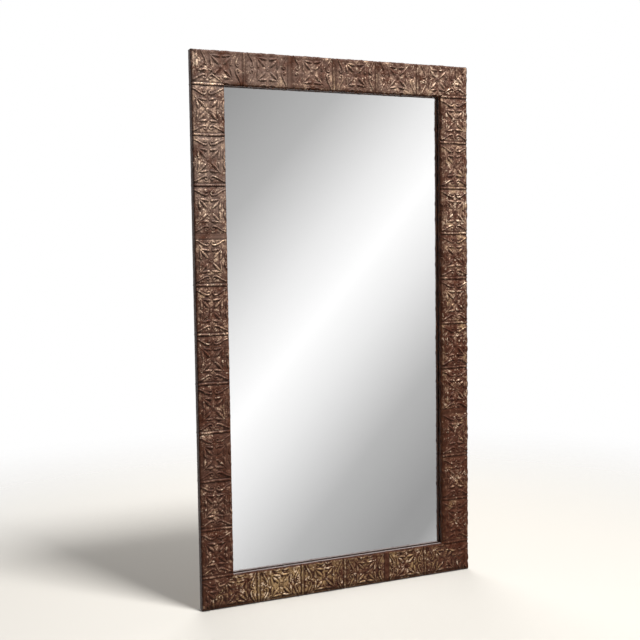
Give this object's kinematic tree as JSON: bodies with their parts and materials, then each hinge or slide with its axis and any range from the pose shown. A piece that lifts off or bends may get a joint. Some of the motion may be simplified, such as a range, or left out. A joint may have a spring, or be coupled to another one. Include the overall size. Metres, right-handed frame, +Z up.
{
  "type": "floor mirror",
  "caption": "Tall leaning floor mirror: plain glass set deep in a mitred timber frame clad in worn pressed tin with a square scroll-and-leaf repeat, with ring hangers at the back.",
  "frame": {"origin": "middle of the bottom edge, at floor level, half way through the timber's depth", "axes": "+Z up along the mirror's height, +X to the right seen from the front, the mirror faces -Y"},
  "size_m": [0.972, 0.0349, 1.733],
  "materials": {
    "pressed_tin": "old red-brown paint, rubbed to tan and gold",
    "frame_timber": "planed pine, bare",
    "beech": "pressed",
    "silvered_glass": "polished",
    "felt": "soft",
    "hardboard": "smooth face out",
    "rubber": "matt",
    "zinc_steel": "zinc plated",
    "tack_steel": "blued, browned with age"
  },
  "bodies": {
    "frame": {"left_tin_upper": "pressed_tin", "left_tin_lower": "pressed_tin", "right_tin_lower": "pressed_tin", "right_tin_upper": "pressed_tin", "top_tin_right": "pressed_tin", "top_tin_left": "pressed_tin", "bottom_tin_left": "pressed_tin", "bottom_tin_right": "pressed_tin", "left_stile": "frame_timber", "right_stile": "frame_timber", "top_rail": "frame_timber", "bottom_rail": "frame_timber", "tin_tacks": "tack_steel", "back_panel_screws": "zinc_steel", "mitre_biscuits": "beech", "mirror_glass": "silvered_glass", "cushion_sheet": "felt", "back_panel": "hardboard", "setting_blocks": "rubber", "left_hanger_strap": "zinc_steel", "right_hanger_strap": "zinc_steel", "hanger_screws": "zinc_steel"},
    "left_ring": {"left_hanger_ring": "zinc_steel"},
    "right_ring": {"right_hanger_ring": "zinc_steel"}
  },
  "joints": [
    {"name": "left_ring_swing", "type": "hinge", "parent": "frame", "child": "left_ring", "pos_m": [-0.446, 0.016, 1.3], "axis": [1, 0, 0], "range_deg": [0, 175]},
    {"name": "right_ring_swing", "type": "hinge", "parent": "frame", "child": "right_ring", "pos_m": [0.446, 0.016, 1.3], "axis": [1, 0, 0], "range_deg": [0, 175]}
  ]
}
